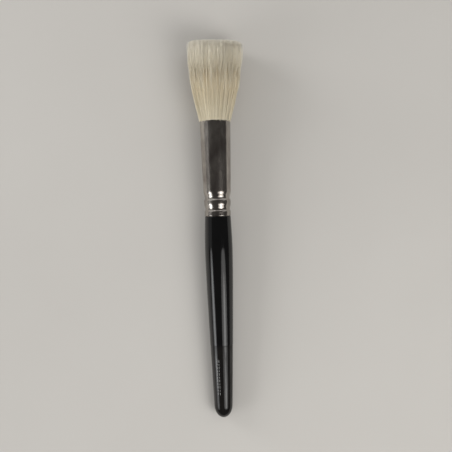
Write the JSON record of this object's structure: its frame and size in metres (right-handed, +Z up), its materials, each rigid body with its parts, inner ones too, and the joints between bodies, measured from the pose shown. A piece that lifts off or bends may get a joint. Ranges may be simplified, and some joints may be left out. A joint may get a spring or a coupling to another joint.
{
  "type": "round soft duo-fibre brush",
  "caption": "Round soft brush with a lacquered wooden handle, crimped metal ferrule and a flared two-tone tuft of natural hair with longer synthetic tips.",
  "frame": {"origin": "on the table under the middle of the brush's bounding box", "axes": "+Y along the brush from the butt to the tuft, +Z up from the table, +X to the right seen from the butt"},
  "size_m": [0.0226, 0.1652, 0.0219],
  "materials": {
    "birch": "turned, bare under the lacquer",
    "black_lacquer": "high gloss lacquer",
    "nickel": "polished nickel plate on brass, lightly handled",
    "adhesive": "set glue",
    "resin": "set epoxy",
    "thread": "twisted cotton",
    "goat_hair": "soft natural hair",
    "synthetic_fibre": "fine satin synthetic filament"
  },
  "bodies": {
    "handle": {"handle_core": "birch", "handle_lacquer": "black_lacquer", "ferrule": "nickel", "tenon_adhesive": "adhesive", "root_glue_plug": "resin", "binding_thread": "thread", "hair_roots": "goat_hair"},
    "goat_hair": {"goat_core": "goat_hair", "goat_lock_1": "goat_hair", "goat_lock_2": "goat_hair", "goat_lock_3": "goat_hair", "goat_lock_4": "goat_hair", "goat_lock_5": "goat_hair", "goat_lock_6": "goat_hair", "goat_lock_7": "goat_hair", "goat_lock_8": "goat_hair"},
    "fibre_tips": {"fibre_core": "synthetic_fibre", "fibre_lock_1": "synthetic_fibre", "fibre_lock_2": "synthetic_fibre", "fibre_lock_3": "synthetic_fibre", "fibre_lock_4": "synthetic_fibre", "fibre_lock_5": "synthetic_fibre", "fibre_lock_6": "synthetic_fibre", "fibre_lock_7": "synthetic_fibre", "fibre_lock_8": "synthetic_fibre"}
  },
  "joints": [
    {"name": "tuft_bend", "type": "hinge", "parent": "handle", "child": "goat_hair", "pos_m": [0, 0.04829, 0.0093], "axis": [0, 0, 1], "range_deg": [-25, 25], "stiffness_Nm_per_rad": 0.06, "deforming": ["goat_core", "goat_lock_1", "goat_lock_2", "goat_lock_3", "goat_lock_4", "goat_lock_5", "goat_lock_6", "goat_lock_7", "goat_lock_8"]},
    {"name": "tip_bend", "type": "hinge", "parent": "goat_hair", "child": "fibre_tips", "pos_m": [0, 0.07077, 0.01025], "axis": [0, 0, 1], "range_deg": [-30, 30], "stiffness_Nm_per_rad": 0.02, "deforming": ["fibre_core", "fibre_lock_1", "fibre_lock_2", "fibre_lock_3", "fibre_lock_4", "fibre_lock_5", "fibre_lock_6", "fibre_lock_7", "fibre_lock_8"]}
  ]
}
